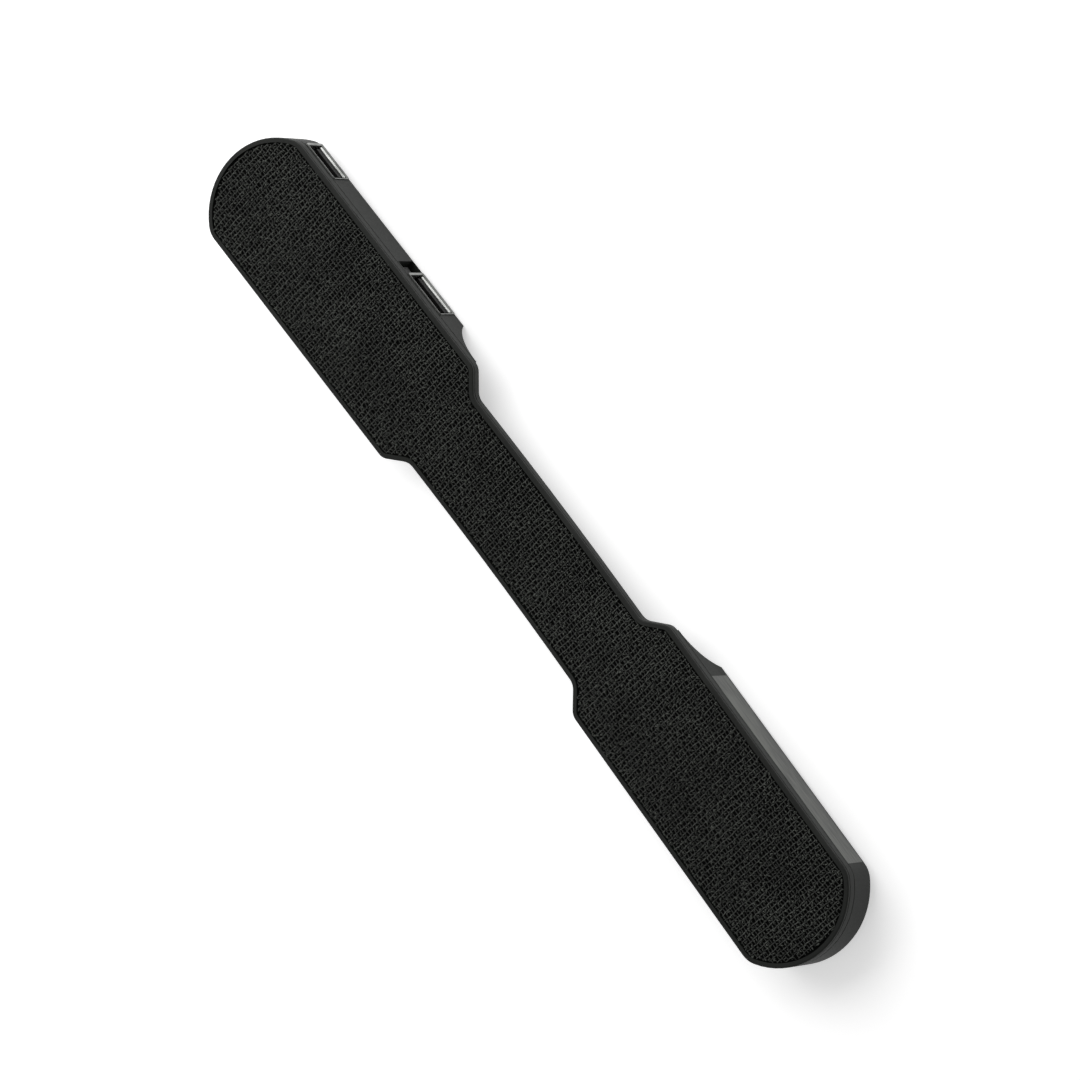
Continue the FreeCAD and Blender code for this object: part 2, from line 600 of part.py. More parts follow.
# no ear between the outer socket, the end wall and the end screw
ear_x = sockets["outer"][0] - sockets["outer"][1] / 2
slab = slab.cut(box(-TIP_X, ear_x, port_screws[2][1], half_lobe, -20, 0))
for x, y in port_screws:
    slab = slab.cut(cylinder(x, y, -20, 0, SCREW_PAD_RADIUS + gap))
nodes["control_board"] = place(slab, -1)
chips = []
outer_centre = sockets["outer"][0]
for base, x, y, sx, sy, sz in ((outer_centre, 13.8, 7.5, 6.0, 6.0, 1.0),
                               (outer_centre, 21.3, 3.2, 4.0, 4.0, 0.9),
                               (outer_centre, 14.3, 0.6, 5.0, 3.0, 1.2),
                               (outer_centre, 8.8, 1.2, 1.6, 3.2, 0.9),
                               (outer_centre, 4.3, 0.6, 3.2, 1.6, 0.8),
                               (button_x, -2.6, 2.2, 4.4, 4.4, 1.6),
                               (button_x, -8.7, 6.4, 2.0, 1.2, 0.8),
                               (button_x, 4.9, 0.6, 3.2, 1.6, 1.0)):
    x += base
    chips.append(box(x - sx / 2, x + sx / 2, y - sy / 2, y + sy / 2, board_top, board_top + sz))
nodes["control_chips"] = place(Part.makeCompound(chips), -1)

# ---- ribbon plugs and the lamp pod's charge board ----
charge_x0 = cavity_x(board_bottom) + gap + 0.2
charge_y0, charge_y1 = -8.4, 6.4
charge = box(charge_x0, cells[1][0] - CELL_GAP, charge_y0, charge_y1, board_bottom, board_top)
for x, y in lamp_screws:
    charge = charge.cut(cylinder(x, y, -20, 0, SCREW_PAD_RADIUS + gap))
nodes["charge_board"] = place(charge, 1)
for side, label in ((-1, "port"), (1, "lamp")):
    x0, x1 = sorted((side * plug_x, side * (plug_x + 2.6)))
    wide = RIBBON_WIDTH / 2 + 0.8
    socket = box(x0, x1, -wide, wide, board_top, land_z + RIBBON_THICKNESS + 0.5)
    socket = socket.cut(box(x0 - 1 if side > 0 else x1 - 2, x0 + 2 if side > 0 else x1 + 1,
                            -RIBBON_WIDTH / 2, RIBBON_WIDTH / 2, land_z,
                            land_z + RIBBON_THICKNESS))
    if side < 0:
        socket = socket.common(box(x0, x1, cells[-1][3] + CELL_GAP, wide, -20, 0))
    nodes["ribbon_plug_" + label] = place(socket, side)

# ---- cells and their pads ----
for side, label in ((-1, "port"), (1, "lamp")):
    x0, x1, y0, y1 = cells[side]
    cell = box(x0, x1, y0, y1, cell_z0, cell_z1)
    upright = [e for e in cell.Edges
               if abs(e.Vertexes[0].Point.z - e.Vertexes[-1].Point.z) > (cell_z1 - cell_z0) / 2]
    cell = cell.makeFillet(CELL_CORNER, upright)
    nodes["cell_" + label] = place(cell, side)
    pad = box(x0 + 3, x1 - 3, y0 + 2, y1 - 2, floor_z, cell_z0)
    nodes["cell_pad_" + label] = place(pad, side)

# ---- lamp window ----
lens = box(window_x0, window_x1, lens_back, half_lobe, window_z0, window_z1)
lens_flange = box(window_x0 - LENS_FLANGE, window_x1 + LENS_FLANGE, flange_y0, lens_back,
                  window_z0, window_z1)
nodes["window_lens"] = place(fuse([lens, lens_flange]), 1)
lamp_mid = (window_z0 + window_z1) / 2
lamp_board = box(window_x0 + 1, window_x1 - 1, board_back, board_front,
                 lamp_mid - LAMP_BOARD_HEIGHT / 2, lamp_mid + LAMP_BOARD_HEIGHT / 2)
nodes["lamp_board"] = place(lamp_board, 1)
leds = []
spacing = (window_x1 - window_x0) / LED_COUNT
for k in range(LED_COUNT):
    x = window_x0 + spacing * (k + 0.5)
    leds.append(box(x - LED_SIZE[0] / 2, x + LED_SIZE[0] / 2, board_front, led_front,
                    lamp_mid - LED_SIZE[2] / 2, lamp_mid + LED_SIZE[2] / 2))
nodes["lamp_leds"] = place(Part.makeCompound(leds), 1)

# ---- origin: centre of the footprint, on the surface it lies on ----
extent = Part.makeCompound(list(nodes.values())).optimalBoundingBox(False, False)
shift = V(-extent.Center.x, -extent.Center.y, -extent.ZMin)
os.makedirs("parts", exist_ok=True)
for name, shape in nodes.items():
    shape.translate(shift)
    print("%-24s solids %2d  valid %s  volume %9.2f" %
          (name, len(shape.Solids), shape.isValid(), shape.Volume))
    shape.exportStep("parts/%s.step" % name)
print("size %.2f x %.2f x %.2f, shift %.4f %.4f %.4f" %
      (extent.XLength, extent.YLength, extent.ZLength, shift.x, shift.y, shift.z))
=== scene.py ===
import math
import bpy
import bmesh
import numpy as np
from mathutils import Matrix, Vector
from mathutils.bvhtree import BVHTree


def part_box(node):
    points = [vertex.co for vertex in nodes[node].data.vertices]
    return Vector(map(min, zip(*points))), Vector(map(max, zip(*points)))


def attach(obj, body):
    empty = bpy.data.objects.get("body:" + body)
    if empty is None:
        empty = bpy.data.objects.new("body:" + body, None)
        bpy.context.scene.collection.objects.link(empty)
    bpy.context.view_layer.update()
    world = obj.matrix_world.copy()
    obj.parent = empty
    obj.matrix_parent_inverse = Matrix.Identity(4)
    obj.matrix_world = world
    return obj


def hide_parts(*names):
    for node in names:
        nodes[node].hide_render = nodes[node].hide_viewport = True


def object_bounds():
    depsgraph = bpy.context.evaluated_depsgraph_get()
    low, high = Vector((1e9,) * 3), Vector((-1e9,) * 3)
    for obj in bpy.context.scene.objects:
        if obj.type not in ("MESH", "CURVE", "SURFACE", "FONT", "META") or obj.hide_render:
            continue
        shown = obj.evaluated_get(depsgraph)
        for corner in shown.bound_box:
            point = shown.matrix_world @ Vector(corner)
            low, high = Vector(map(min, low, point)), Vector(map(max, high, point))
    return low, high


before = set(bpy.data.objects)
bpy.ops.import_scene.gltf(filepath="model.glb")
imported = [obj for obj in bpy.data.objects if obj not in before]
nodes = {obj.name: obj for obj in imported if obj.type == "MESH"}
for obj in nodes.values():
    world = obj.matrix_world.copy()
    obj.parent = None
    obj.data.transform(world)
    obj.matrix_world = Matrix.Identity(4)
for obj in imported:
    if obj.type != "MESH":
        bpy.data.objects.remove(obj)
cadBox = [list(corner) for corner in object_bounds()]
mm = 0.001
print("frame loaded:", len(nodes), "nodes")


class Wire:
    # an output socket; sums on it add Math nodes
    def __init__(self, finish, out):
        self.finish = finish
        self.out = out

    def sum(self, operation, first, second):
        return self.finish.node("ShaderNodeMath", {"operation": operation}, {0: first, 1: second})

    def __add__(self, other):
        return self.sum("ADD", self, other)

    def __sub__(self, other):
        return self.sum("SUBTRACT", self, other)

    def __rsub__(self, other):
        return self.sum("SUBTRACT", other, self)

    def __mul__(self, other):
        return self.sum("MULTIPLY", self, other)

    __radd__ = __add__
    __rmul__ = __mul__


edgeValues = {"samples": 4, "range": (0.02, 0.25)}


class Finish:
    # one material, its Principled shader and the nodes behind it
    def __init__(self, name, **fixed):
        self.material = bpy.data.materials.new(name)
        self.material.use_nodes = True
        self.tree = self.material.node_tree
        self.shader = self.tree.nodes["Principled BSDF"]
        for socket, value in fixed.items():
            self.feed(self.shader.inputs[socket.replace("_", " ")], value)

    def feed(self, socket, value):
        if isinstance(value, Wire):
            self.tree.links.new(value.out, socket)
        elif hasattr(value, "__len__") and socket.type == "RGBA":
            socket.default_value = (*value, 1.0)
        else:
            socket.default_value = value

    def node(self, kind, settings=None, values=None, out=0):
        made = self.tree.nodes.new(kind)
        for name, value in (settings or {}).items():
            setattr(made, name, value)
        for socket, value in (values or {}).items():
            self.feed(made.inputs[socket], value)
        return Wire(self, made.outputs[out])

    def spot(self, scale=(1, 1, 1)):
        # the place on the piece in metres, stretched by scale
        place = self.node("ShaderNodeTexCoord", out="Object")
        return self.node("ShaderNodeVectorMath", {"operation": "MULTIPLY"}, {0: place, 1: scale})

    def noise(self, scale, detail=3.0, stretch=(1, 1, 1)):
        # cloudy grain, scale is how many patches fit in a metre
        return self.node("ShaderNodeTexNoise", {}, {"Vector": self.spot(stretch), "Scale": scale,
                                                    "Detail": detail, "Roughness": 0.5})

    def mix(self, mask, first, second):
        # first where the mask is 0, second where it is 1; inputs 6 and 7 are the node's two colours
        return self.node("ShaderNodeMix", {"data_type": "RGBA"}, {0: mask, 6: first, 7: second}, out=2)

    def ramp(self, mask, low, high):
        # 0 below low, 1 above high
        return self.node("ShaderNodeMapRange", {"interpolation_type": "SMOOTHSTEP"},
                         {"Value": mask, "From Min": low, "From Max": high})

    def edge(self, radius):
        # 1 on a piece's sharp edges, 0 on its flats
        rounded = self.node("ShaderNodeBevel", {"samples": edgeValues["samples"]}, {"Radius": radius})
        plain = self.node("ShaderNodeNewGeometry", out="Normal")
        same = self.node("ShaderNodeVectorMath", {"operation": "DOT_PRODUCT"},
                         {0: rounded, 1: plain}, out="Value")
        return self.ramp(1.0 - same, *edgeValues["range"])

    def bump(self, height, distance):
        lit = self.node("ShaderNodeBump", {}, {"Height": height, "Distance": distance, "Strength": 1.0})
        self.feed(self.shader.inputs["Normal"], lit)

    def paint(self, **varying):
        for socket, value in varying.items():
            self.feed(self.shader.inputs[socket.replace("_", " ")], value)
        return self.material


mouldedValues = {"base": (0.0078, 0.009, 0.0075), "worn": (0.028, 0.031, 0.0265),
                 "dusty": (0.0135, 0.015, 0.013), "dust": 60, "dustRange": (0.45, 0.75),
                 "rub": 240, "rubRange": (0.35, 0.62), "edge": 0.25 * mm, "grain": 2600,
                 "grainDepth": 0.02 * mm, "roughness": 0.5, "uneven": 0.16, "polish": 0.1}


def mouldedPlastic():
    # black moulded nylon: fine spark texture, paler where edges rub
    v = mouldedValues
    finish = Finish("mouldedPlastic", Specular_IOR_Level=0.21)
    grain = finish.noise(v["grain"], detail=2.0)
    dust = finish.ramp(finish.noise(v["dust"], detail=4.0), *v["dustRange"])
    rub = finish.edge(v["edge"]) * finish.ramp(finish.noise(v["rub"]), *v["rubRange"])
    base = finish.mix(dust, v["base"], v["dusty"])
    finish.bump(grain, v["grainDepth"])
    return finish.paint(Base_Color=finish.mix(rub, base, v["worn"]),
                        Roughness=v["roughness"] + grain * v["uneven"] - rub * v["polish"])


hookThreadValues = {"base": (0.012, 0.0138, 0.0115), "pale": (0.078, 0.085, 0.073),
                    "streak": 900, "roughness": 0.4}
weftThreadValues = {"base": (0.009, 0.0102, 0.0087), "pale": (0.085, 0.092, 0.08),
                    "streak": 2400, "roughness": 0.42}
warpThreadValues = {"base": (0.005, 0.0057, 0.0048), "pale": (0.032, 0.035, 0.03),
                    "streak": 2400, "roughness": 0.5}
threadValues = {"patch": 75, "patchShare": 0.3, "paleRange": (0.5, 0.88), "grain": 5200,
                "grainDepth": 0.008 * mm, "uneven": 0.2}


def nylonThread(name, own):
    # extruded nylon thread, satin, some of it paler than the rest
    v = {**threadValues, **own}
    finish = Finish(name, Specular_IOR_Level=0.5)
    streak = finish.noise(v["streak"], detail=1.0)
    patch = finish.noise(v["patch"])
    pale = finish.ramp(streak + patch * v["patchShare"], *v["paleRange"])
    finish.bump(finish.noise(v["grain"], detail=1.0), v["grainDepth"])
    return finish.paint(Base_Color=finish.mix(pale, v["base"], v["pale"]),
                        Roughness=v["roughness"] + streak * v["uneven"])


# rib is the lighter colour painted on the weave's crests as light, base the darker one painted in its
# dips as shade
weaveValues = {"base": (0.001, 0.0011, 0.001), "rib": (0.004, 0.0044, 0.004), "yarn": 0.65 * mm,
               "fuzz": 3800, "fuzzShare": 0.3, "depth": 0.06 * mm}


def wovenGround():
    # tight black tape weave under the hooks, painted lighter on its crests and darker in its dips:
    # painted shade between the yarns
    v = weaveValues
    finish = Finish("wovenGround", Roughness=0.9, Specular_IOR_Level=0.04)
    turns = 2 * math.pi / v["yarn"]
    across = finish.node("ShaderNodeSeparateXYZ", {}, {0: finish.spot((turns, turns, 1))}, out=0)
    along = finish.node("ShaderNodeSeparateXYZ", {}, {0: finish.spot((turns, turns, 1))}, out=1)
    waveX = finish.node("ShaderNodeMath", {"operation": "SINE"}, {0: across})
    waveY = finish.node("ShaderNodeMath", {"operation": "SINE"}, {0: along * 2.0})
    weave = waveX * waveY * 0.5 + 0.5
    fuzz = finish.noise(v["fuzz"], detail=2.0)
    finish.bump(weave * (1 - v["fuzzShare"]) + fuzz * v["fuzzShare"], v["depth"])
    # the weave's height, with some random fuzz, is also its colour mask: crests painted lighter, dips
    # painted darker as shade
    return finish.paint(Base_Color=finish.mix(weave * fuzz, v["base"], v["rib"]))


shellMetalValues = {"base": (0.29, 0.295, 0.286), "dull": (0.18, 0.184, 0.178), "roughness": 0.3}
# the lip's nickel is a lighter copy of the shell's nickel: a painted highlight along the socket mouths
lipPaintedHighlightValues = {"base": (0.72, 0.73, 0.71), "dull": (0.5, 0.51, 0.49), "roughness": 0.42}
plateValues = {"brush": 900, "brushDepth": 0.006 * mm, "stain": 320, "stainRange": (0.45, 0.75),
               "uneven": 0.15}


def nickelPlate(name, own):
    # stamped nickel-plated steel, brushed along the mouth
    v = {**plateValues, **own}
    finish = Finish(name, Metallic=1.0)
    brush = finish.noise(v["brush"], stretch=(1, 1, 9))
    stain = finish.ramp(finish.noise(v["stain"]), *v["stainRange"])
    finish.bump(brush, v["brushDepth"])
    return finish.paint(Base_Color=finish.mix(stain, v["base"], v["dull"]),
                        Roughness=v["roughness"] + brush * v["uneven"])


lensValues = {"base": (0.058, 0.0626, 0.0536), "deep": (0.016, 0.0176, 0.0149), "cloud": 90,
              "prism": 1500, "prismDepth": 0.012 * mm, "prismShare": 0.4, "mottleRange": (0.38, 0.6),
              "roughness": 0.42, "uneven": 0.18}


def satinLens():
    # moulded smoke-grey diffuser with a fine prism grain along its length
    v = lensValues
    finish = Finish("satinLens", Coat_Weight=0.15, Coat_Roughness=0.3)
    cloud = finish.noise(v["cloud"], stretch=(0.25, 1, 1))
    prism = finish.noise(v["prism"], detail=2.0, stretch=(0.12, 1, 1.6))
    finish.bump(prism, v["prismDepth"])
    mixed = cloud * (1 - v["prismShare"]) + prism * v["prismShare"]
    mottle = finish.ramp(mixed, *v["mottleRange"])
    return finish.paint(Base_Color=finish.mix(mottle, v["base"], v["deep"]),
                        Roughness=v["roughness"] + prism * v["uneven"])


plainValues = {
    "gasketRubber": {"base": (0.008, 0.008, 0.008), "second": (0.016, 0.016, 0.016),
                     "roughness": 0.75, "patch": 300, "depth": 0.02 * mm},
    "buttonRubber": {"base": (0.008, 0.0084, 0.008), "second": (0.014, 0.0145, 0.014),
                     "roughness": 0.6, "patch": 260, "depth": 0.015 * mm, "worn": (0.03, 0.03, 0.03)},
    "socketTongue": {"base": (0.003, 0.003, 0.003), "second": (0.006, 0.006, 0.006),
                     "roughness": 0.55, "patch": 300, "depth": 0.008 * mm,
                     "fixed": {"Specular_IOR_Level": 0.2}},
    "goldPlate": {"base": (0.83, 0.6, 0.25), "second": (0.7, 0.48, 0.2),
                  "roughness": 0.28, "patch": 500, "depth": 0.004 * mm, "fixed": {"Metallic": 1.0}},
    "turnedBrass": {"base": (0.68, 0.5, 0.22), "second": (0.55, 0.4, 0.18),
                    "roughness": 0.35, "patch": 400, "depth": 0.01 * mm, "fixed": {"Metallic": 1.0}},
    "chipEpoxy": {"base": (0.018, 0.018, 0.019), "second": (0.03, 0.03, 0.03),
                  "roughness": 0.5, "patch": 600, "depth": 0.012 * mm},
    "plugNylon": {"base": (0.7, 0.65, 0.55), "second": (0.6, 0.56, 0.47),
                  "roughness": 0.45, "patch": 300, "depth": 0.01 * mm},
    "cellFoil": {"base": (0.6, 0.62, 0.64), "second": (0.48, 0.5, 0.52),
                 "roughness": 0.38, "patch": 90, "depth": 0.03 * mm, "fixed": {"Metallic": 0.85}},
    "padFoam": {"base": (0.03, 0.03, 0.03), "second": (0.055, 0.055, 0.055),
                "roughness": 0.95, "patch": 900, "depth": 0.08 * mm},
    "ledResin": {"base": (0.85, 0.8, 0.45), "second": (0.9, 0.88, 0.7),
                 "roughness": 0.2, "patch": 400, "depth": 0.004 * mm, "fixed": {"Coat_Weight": 0.6}},
    "blackZinc": {"base": (0.09, 0.09, 0.095), "second": (0.15, 0.15, 0.155),
                  "roughness": 0.38, "patch": 500, "depth": 0.008 * mm, "fixed": {"Metallic": 1.0},
                  "worn": (0.4, 0.4, 0.4)},
}


plainShared = {"fixed": {}, "worn": None, "edge": 0.12 * mm, "rubRange": (0.4, 0.6),
               "patchRange": (0.4, 0.68), "grainPerPatch": 9, "uneven": 0.2}


def plainFinish(name):
    # a mottled finish with fine grain, for the smaller pieces; worn is the colour of its edges
    v = {**plainShared, **plainValues[name]}
    finish = Finish(name, **v["fixed"])
    cloud = finish.noise(v["patch"])
    grain = finish.noise(v["patch"] * v["grainPerPatch"], detail=2.0)
    colour = finish.mix(finish.ramp(cloud, *v["patchRange"]), v["base"], v["second"])
    if v["worn"]:
        rub = finish.edge(v["edge"]) * finish.ramp(grain, *v["rubRange"])
        colour = finish.mix(rub, colour, v["worn"])
    finish.bump(grain, v["depth"])
    return finish.paint(Base_Color=colour, Roughness=v["roughness"] + (grain - 0.5) * v["uneven"])


boardValues = {"mask": (0.008, 0.05, 0.026), "trace": (0.018, 0.11, 0.055), "pitch": 1.1 * mm,
               "runRange": (0.42, 0.5), "copper": 0.03 * mm}


def circuitBoard():
    # green solder mask with copper runs showing through it
    v = boardValues
    finish = Finish("circuitBoard", Coat_Weight=0.4, Coat_Roughness=0.2, Roughness=0.35)
    cells = finish.node("ShaderNodeTexVoronoi", {"distance": "MANHATTAN", "feature": "F1"},
                        {"Vector": finish.spot(), "Scale": 1 / v["pitch"]}, out="Distance")
    runs = finish.ramp(cells, *v["runRange"])
    finish.bump(runs, v["copper"])
    return finish.paint(Base_Color=finish.mix(runs, v["mask"], v["trace"]))


ribbonValues = {"film": (0.42, 0.19, 0.03), "line": (0.3, 0.1, 0.02), "pitch": 0.8 * mm,
                "lineRange": (-0.1, 0.2), "copper": 0.02 * mm}


def ribbonFilm():
    # amber film with copper lines along the cable
    v = ribbonValues
    finish = Finish("ribbonFilm", Coat_Weight=0.5, Coat_Roughness=0.15, Roughness=0.3)
    turns = 2 * math.pi / v["pitch"]
    across = finish.node("ShaderNodeSeparateXYZ", {}, {0: finish.spot((1, turns, 1))}, out=1)
    wave = finish.node("ShaderNodeMath", {"operation": "SINE"}, {0: across})
    line = finish.ramp(wave, *v["lineRange"])
    finish.bump(line, v["copper"])
    return finish.paint(Base_Color=finish.mix(line, v["film"], v["line"]))


moulded = mouldedPlastic()
hookNylon = nylonThread("hookThread", hookThreadValues)
weftNylon = nylonThread("weftThread", weftThreadValues)
warpNylon = nylonThread("warpThread", warpThreadValues)
ground = wovenGround()
nickel = nickelPlate("nickelShell", shellMetalValues)
paintedHighlightNickel = nickelPlate("nickelLipPaintedHighlight", lipPaintedHighlightValues)
lensFinish = satinLens()
board = circuitBoard()
ribbon = ribbonFilm()
rubber = plainFinish("gasketRubber")
buttonRubber = plainFinish("buttonRubber")
tongueNylon = plainFinish("socketTongue")
gold = plainFinish("goldPlate")
brass = plainFinish("turnedBrass")
epoxy = plainFinish("chipEpoxy")
plugNylon = plainFinish("plugNylon")
foil = plainFinish("cellFoil")
foam = plainFinish("padFoam")
led = plainFinish("ledResin")
zinc = plainFinish("blackZinc")
print("finishes made")

finishOf = {
    moulded: ("front_plate", "neck_cover", "port_pod_shell", "lamp_pod_shell"),
    rubber: ("port_pod_gasket", "lamp_pod_gasket"),
    buttonRubber: ("power_button",),
    nickel: ("socket_outer_shell", "socket_inner_shell"),
    tongueNylon: ("socket_outer_insert", "socket_inner_insert"),
    gold: ("socket_outer_contacts", "socket_inner_contacts"),
    brass: ("port_pod_standoffs", "lamp_pod_standoffs"),
    zinc: ("port_pod_screws", "lamp_pod_screws"),
    epoxy: ("control_chips", "button_switch"),
    board: ("control_board", "charge_board", "lamp_board"),
    ribbon: ("neck_ribbon",),
    plugNylon: ("ribbon_plug_port", "ribbon_plug_lamp"),
    foil: ("cell_port", "cell_lamp"),
    foam: ("cell_pad_port", "cell_pad_lamp"),
    led: ("lamp_leds",),
    lensFinish: ("window_lens",),
}
for material, names in finishOf.items():
    for name in names:
        nodes[name].data.materials.clear()
        nodes[name].data.materials.append(material)


def meshPiece(name, points, faces, material, smooth=True):
    # points is an n x 3 array, faces an m x 4 or m x 3 array of point numbers
    mesh = bpy.data.meshes.new(name)
    sides = faces.shape[1]
    mesh.vertices.add(len(points))
    mesh.vertices.foreach_set("co", points.astype(np.float32).ravel())
    mesh.loops.add(faces.size)
    mesh.loops.foreach_set("vertex_index", faces.astype(np.int32).ravel())
    mesh.polygons.add(len(faces))
    mesh.polygons.foreach_set("loop_start", np.arange(0, faces.size, sides, dtype=np.int32))
    mesh.polygons.foreach_set("use_smooth", np.full(len(faces), smooth))
    mesh.update(calc_edges=True)
    mesh.materials.append(material)
    piece = bpy.data.objects.new(name, mesh)
    bpy.context.scene.collection.objects.link(piece)
    return piece


tape = BVHTree.FromObject(nodes["hook_backing"], bpy.context.evaluated_depsgraph_get())
tapeLow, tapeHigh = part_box("hook_backing")


def tapeAt(x, y):
    # the top of the tape's backing under a point of the plan, or None off the tape
    return tape.ray_cast(Vector((x, y, tapeHigh.z + 10 * mm)), Vector((0, 0, -1)))[0]


hookValues = {"rowPitch": 1.3 * mm, "hookPitch": 0.86 * mm, "thread": 0.12 * mm, "height": 0.72 * mm,
              "crown": 0.3 * mm, "tail": 0.22 * mm, "sway": 0.3 * mm, "edge": 0.2 * mm,
              "shift": 0.22 * mm, "turn": 0.9, "lean": 0.6, "smallest": 0.72, "largest": 1.06,
              "missing": 0.08, "bent": 0.1, "bentHeight": 0.8, "bentTurn": 3, "rootWidth": 1.25,
              "sides": 5, "seed": 11}


def tubeFaces(first, rings, sides):
    # quads of a tube whose points stand in rings, the first of them numbered first
    return [(first + ring * sides + k, first + ring * sides + (k + 1) % sides,
             first + (ring + 1) * sides + (k + 1) % sides, first + (ring + 1) * sides + k)
            for ring in range(rings - 1) for k in range(sides)]


def hookLine(height, crown, tail):
    # centre line of one hook as (along the row, up) pairs: root, stem, crown and tail
    top = height - crown
    stem = [(0.0, 0.0), (0.02 * mm, top * 0.55)]
    arch = [(crown * (1 - math.cos(a)), top + crown * math.sin(a))
            for a in np.radians((0, 40, 90, 140, 180))]
    return stem + arch + [(2 * crown - 0.03 * mm, top - tail)]


def makeHooks():
    v = hookValues
    random = np.random.default_rng(v["seed"])
    sets = {"hooksPort": ([], []), "hooksNeck": ([], []), "hooksLamp": ([], [])}
    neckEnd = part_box("port_pod_shell")[1].x
    rows = np.arange(tapeLow.x + v["edge"], tapeHigh.x - v["edge"], v["rowPitch"])
    ringAngles = np.arange(v["sides"]) * 2 * math.pi / v["sides"]
    for number, x in enumerate(rows):
        name = "hooksPort" if x < neckEnd else "hooksLamp" if x > -neckEnd else "hooksNeck"
        points, faces = sets[name]
        start = tapeLow.y + (number % 2) * v["hookPitch"] / 2
        for count, y in enumerate(np.arange(start, tapeHigh.y, v["hookPitch"])):
            way = 1 if (count // 2 + number) % 2 else -1
            rootX = x + random.normal(0, v["shift"]) - way * v["crown"]
            rootY = y + random.normal(0, v["shift"])
            size = random.uniform(v["smallest"], v["largest"])
            turn = random.normal(0, v["turn"])
            lean = random.normal(0, v["lean"]) * v["sway"]
            bent = random.random() < v["bent"]
            gone = random.random() < v["missing"]
            reach = way * (2 * v["crown"] * size + v["edge"])
            root = tapeAt(rootX, rootY)
            around = ((rootX + reach, rootY), (rootX - way * v["edge"], rootY),
                      (rootX, rootY - v["edge"]), (rootX, rootY + v["edge"]))
            if gone or root is None or any(tapeAt(*spot) is None for spot in around):
                continue
            height = v["height"] * size * (v["bentHeight"] if bent else 1.0)
            aside = math.sin(turn) * (v["bentTurn"] if bent else 1)
            line = hookLine(height, v["crown"] * size, v["tail"])
            along = Vector((way * math.cos(turn), aside, 0)).normalized()
            side = Vector((along.y, -along.x, 0))
            base = sum(len(p) for p in points)
            ring = []
            for step, (ahead, up) in enumerate(line):
                before = Vector(line[max(step - 1, 0)])
                after = Vector(line[min(step + 1, len(line) - 1)])
                slope = (after - before).normalized()
                middle = root + along * ahead + side * lean * (up / v["height"]) + Vector((0, 0, up))
                out = along * -slope.y + Vector((0, 0, slope.x))
                thick = v["thread"] * (v["rootWidth"] if step == 0 else 1.0)
                for angle in ringAngles:
                    ring.append(middle + (side * math.cos(angle) + out * math.sin(angle)) * thick)
            points.append(np.array([tuple(p) for p in ring]))
            faces += tubeFaces(base, len(line), v["sides"])
    made = []
    for name, (points, faces) in sets.items():
        piece = meshPiece(name, np.concatenate(points), np.array(faces), hookNylon)
        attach(piece, "housing")
        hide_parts("hook_field")
        made.append(piece)
        print(name, "hooks:", len(points), "faces:", len(faces))
    return made


weftValues = {"radius": 0.14 * mm, "height": 0.11 * mm, "steps": 2400}  # steps are points per metre
warpValues = {"radius": 0.14 * mm, "height": 0.02 * mm, "steps": 1600}
cordValues = {"wave": 0.06 * mm, "wander": 0.09 * mm, "slowBend": 900, "fastBend": 3100,
              "shortest": 4, "sides": 5, "edge": 0.12 * mm, "seed": 5}


def makeCords(name, rows, pitch, alongX, own, nylon):
    # parallel cords laid over the tape, rising and dipping once each pitch
    v = {**cordValues, **own}
    random = np.random.default_rng(v["seed"])
    points, faces = [], []
    low, high = (tapeLow.x, tapeHigh.x) if alongX else (tapeLow.y, tapeHigh.y)
    side = Vector((0, 1, 0)) if alongX else Vector((1, 0, 0))
    ringAngles = np.arange(v["sides"]) * 2 * math.pi / v["sides"]

    def layRun(run):
        # one unbroken stretch of cord becomes a tube
        if len(run) >= v["shortest"]:
            faces.extend(tubeFaces(len(points), len(run), v["sides"]))
            points.extend(p for ring in run for p in ring)

    for number, row in enumerate(rows):
        run = []
        phase = random.uniform(0, 2 * math.pi)
        for place in np.arange(low + v["edge"], high - v["edge"], 1 / v["steps"]):
            slow = math.sin(place * v["slowBend"] + phase)
            fast = math.sin(place * v["fastBend"] + phase * 7)
            drift = v["wander"] * (slow + fast / 2)
            x, y = (place, row + drift) if alongX else (row + drift, place)
            around = ((x, y), (x + v["edge"], y + v["edge"]), (x - v["edge"], y - v["edge"]))
            if any(tapeAt(*spot) is None for spot in around):
                layRun(run)
                run = []
                continue
            lift = v["wave"] * math.cos(2 * math.pi * place / pitch + math.pi * number)
            middle = tapeAt(x, y) + Vector((0, 0, v["height"] + lift))
            run.append([middle + (side * math.cos(a) + Vector((0, 0, math.sin(a)))) * v["radius"]
                        for a in ringAngles])
        layRun(run)
    piece = meshPiece(name, np.array([tuple(p) for p in points]), np.array(faces), nylon)
    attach(piece, "housing")
    print(name, "faces:", len(faces))
    return piece


groundValues = {"cut": 0.325 * mm, "rib": 0.07 * mm, "ribShare": 0.01, "weld": 0.001 * mm,
                "upright": 0.7}


